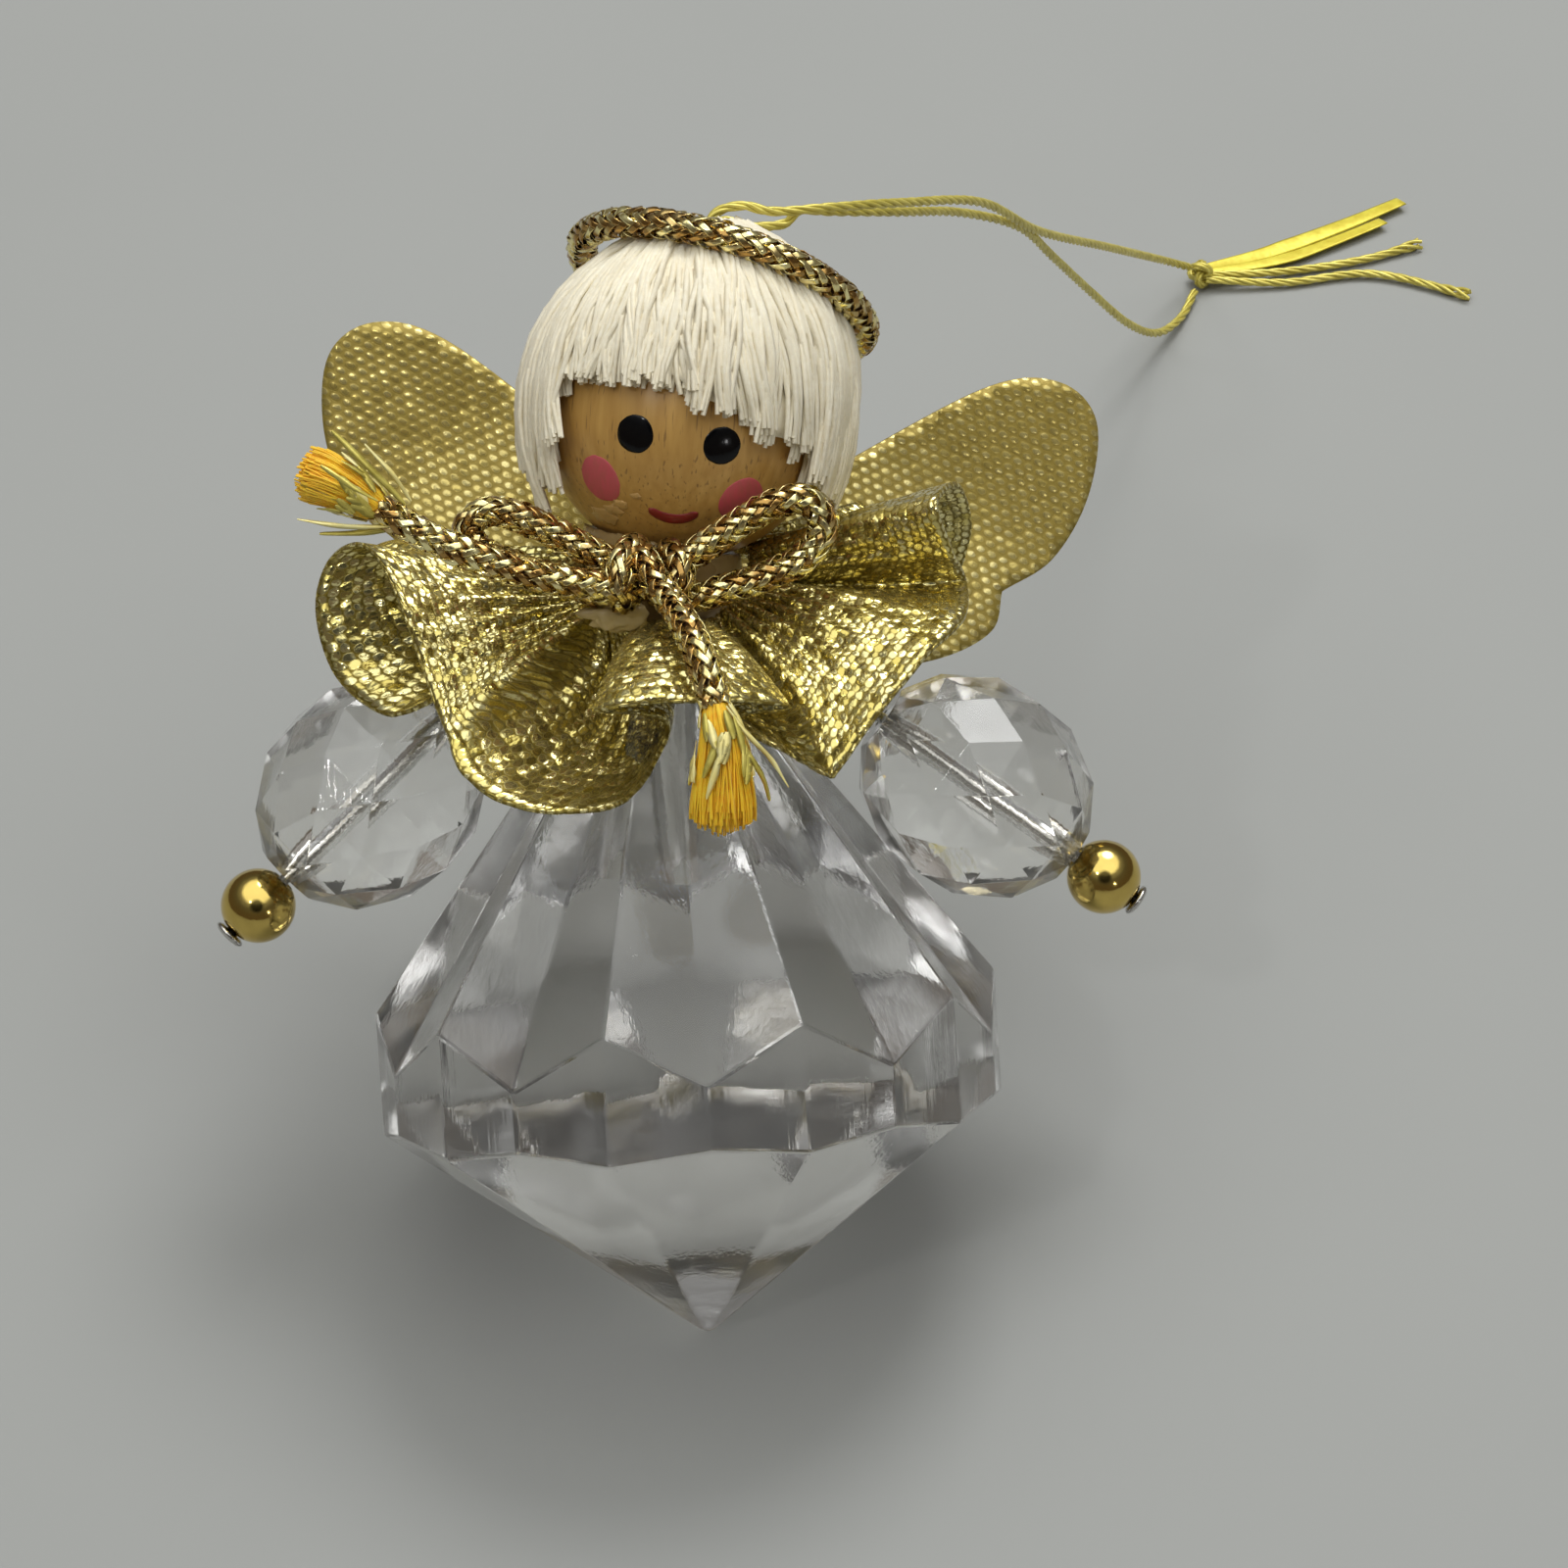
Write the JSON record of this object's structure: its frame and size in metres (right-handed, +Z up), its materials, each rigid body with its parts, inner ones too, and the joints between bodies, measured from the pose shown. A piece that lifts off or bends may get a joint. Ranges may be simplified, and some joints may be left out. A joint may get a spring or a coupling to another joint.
{
  "type": "angel ornament",
  "caption": "Small hanging angel: faceted clear drop skirt, clear bead arms on pins, wooden bead head with yarn hair, gold cord halo and bow, gathered gold collar and wings.",
  "frame": {"origin": "on the table, on the rear facet of the skirt's point, 15 mm up that facet from the tip", "axes": "+Z up from the table, -Y towards the side with the face, +X to the viewer's right"},
  "size_m": [0.1063, 0.1291, 0.0651],
  "materials": {
    "clear_acrylic": "clear moulded acrylic, polished facets with fine scuffs",
    "gold_plating": "polished gold plating",
    "pin_steel": "nickel-bright drawn wire",
    "hot_glue": "milky translucent hot-melt glue",
    "beech_wood": "turned, stained and waxed, with painted face",
    "cotton_yarn": "soft loose-spun yarn",
    "gold_lame": "woven metallic ribbon, glittering",
    "gold_braid": "braided metallic cord, glittering",
    "rayon_core": "frayed silky filling",
    "metallic_thread": "twisted metallic thread",
    "yellow_foil": "flat metallised strip"
  },
  "bodies": {
    "base": {"skirt_drop": "clear_acrylic", "left_arm_pin": "pin_steel", "right_arm_pin": "pin_steel", "neck_glue": "hot_glue", "wing_glue": "hot_glue", "head_bead": "beech_wood", "hair_fringe": "cotton_yarn", "hair_fall": "cotton_yarn", "collar_ruffle": "gold_lame", "wings": "gold_lame", "halo_ring": "gold_braid", "bow_knot": "gold_braid", "bow_left_loop": "gold_braid", "bow_right_loop": "gold_braid", "bow_left_tail": "gold_braid", "bow_front_tail": "gold_braid", "left_tassel": "rayon_core", "front_tassel": "rayon_core", "hanger_strand_a": "metallic_thread", "hanger_strand_b": "metallic_thread", "hanger_knot": "metallic_thread", "hanger_end_a": "metallic_thread", "hanger_end_b": "metallic_thread", "hanger_foil_end": "yellow_foil"},
    "left_arm": {"left_arm_bead": "clear_acrylic"},
    "right_arm": {"right_arm_bead": "clear_acrylic"},
    "left_hand": {"left_hand_bead": "gold_plating"},
    "right_hand": {"right_hand_bead": "gold_plating"}
  },
  "joints": [
    {"name": "left_arm_spin", "type": "hinge", "parent": "base", "child": "left_arm", "pos_m": [-0.02905, 0.00689, 0.02336], "axis": [-0.7528, -0.3998, -0.523], "continuous": true},
    {"name": "right_arm_spin", "type": "hinge", "parent": "base", "child": "right_arm", "pos_m": [0.02991, 0.00553, 0.02158], "axis": [0.7731, -0.3853, -0.5039], "continuous": true},
    {"name": "left_hand_spin", "type": "hinge", "parent": "base", "child": "left_hand", "pos_m": [-0.02905, 0.00689, 0.02336], "axis": [-0.7528, -0.3998, -0.523], "continuous": true},
    {"name": "right_hand_spin", "type": "hinge", "parent": "base", "child": "right_hand", "pos_m": [0.02991, 0.00553, 0.02158], "axis": [0.7731, -0.3853, -0.5039], "continuous": true}
  ]
}
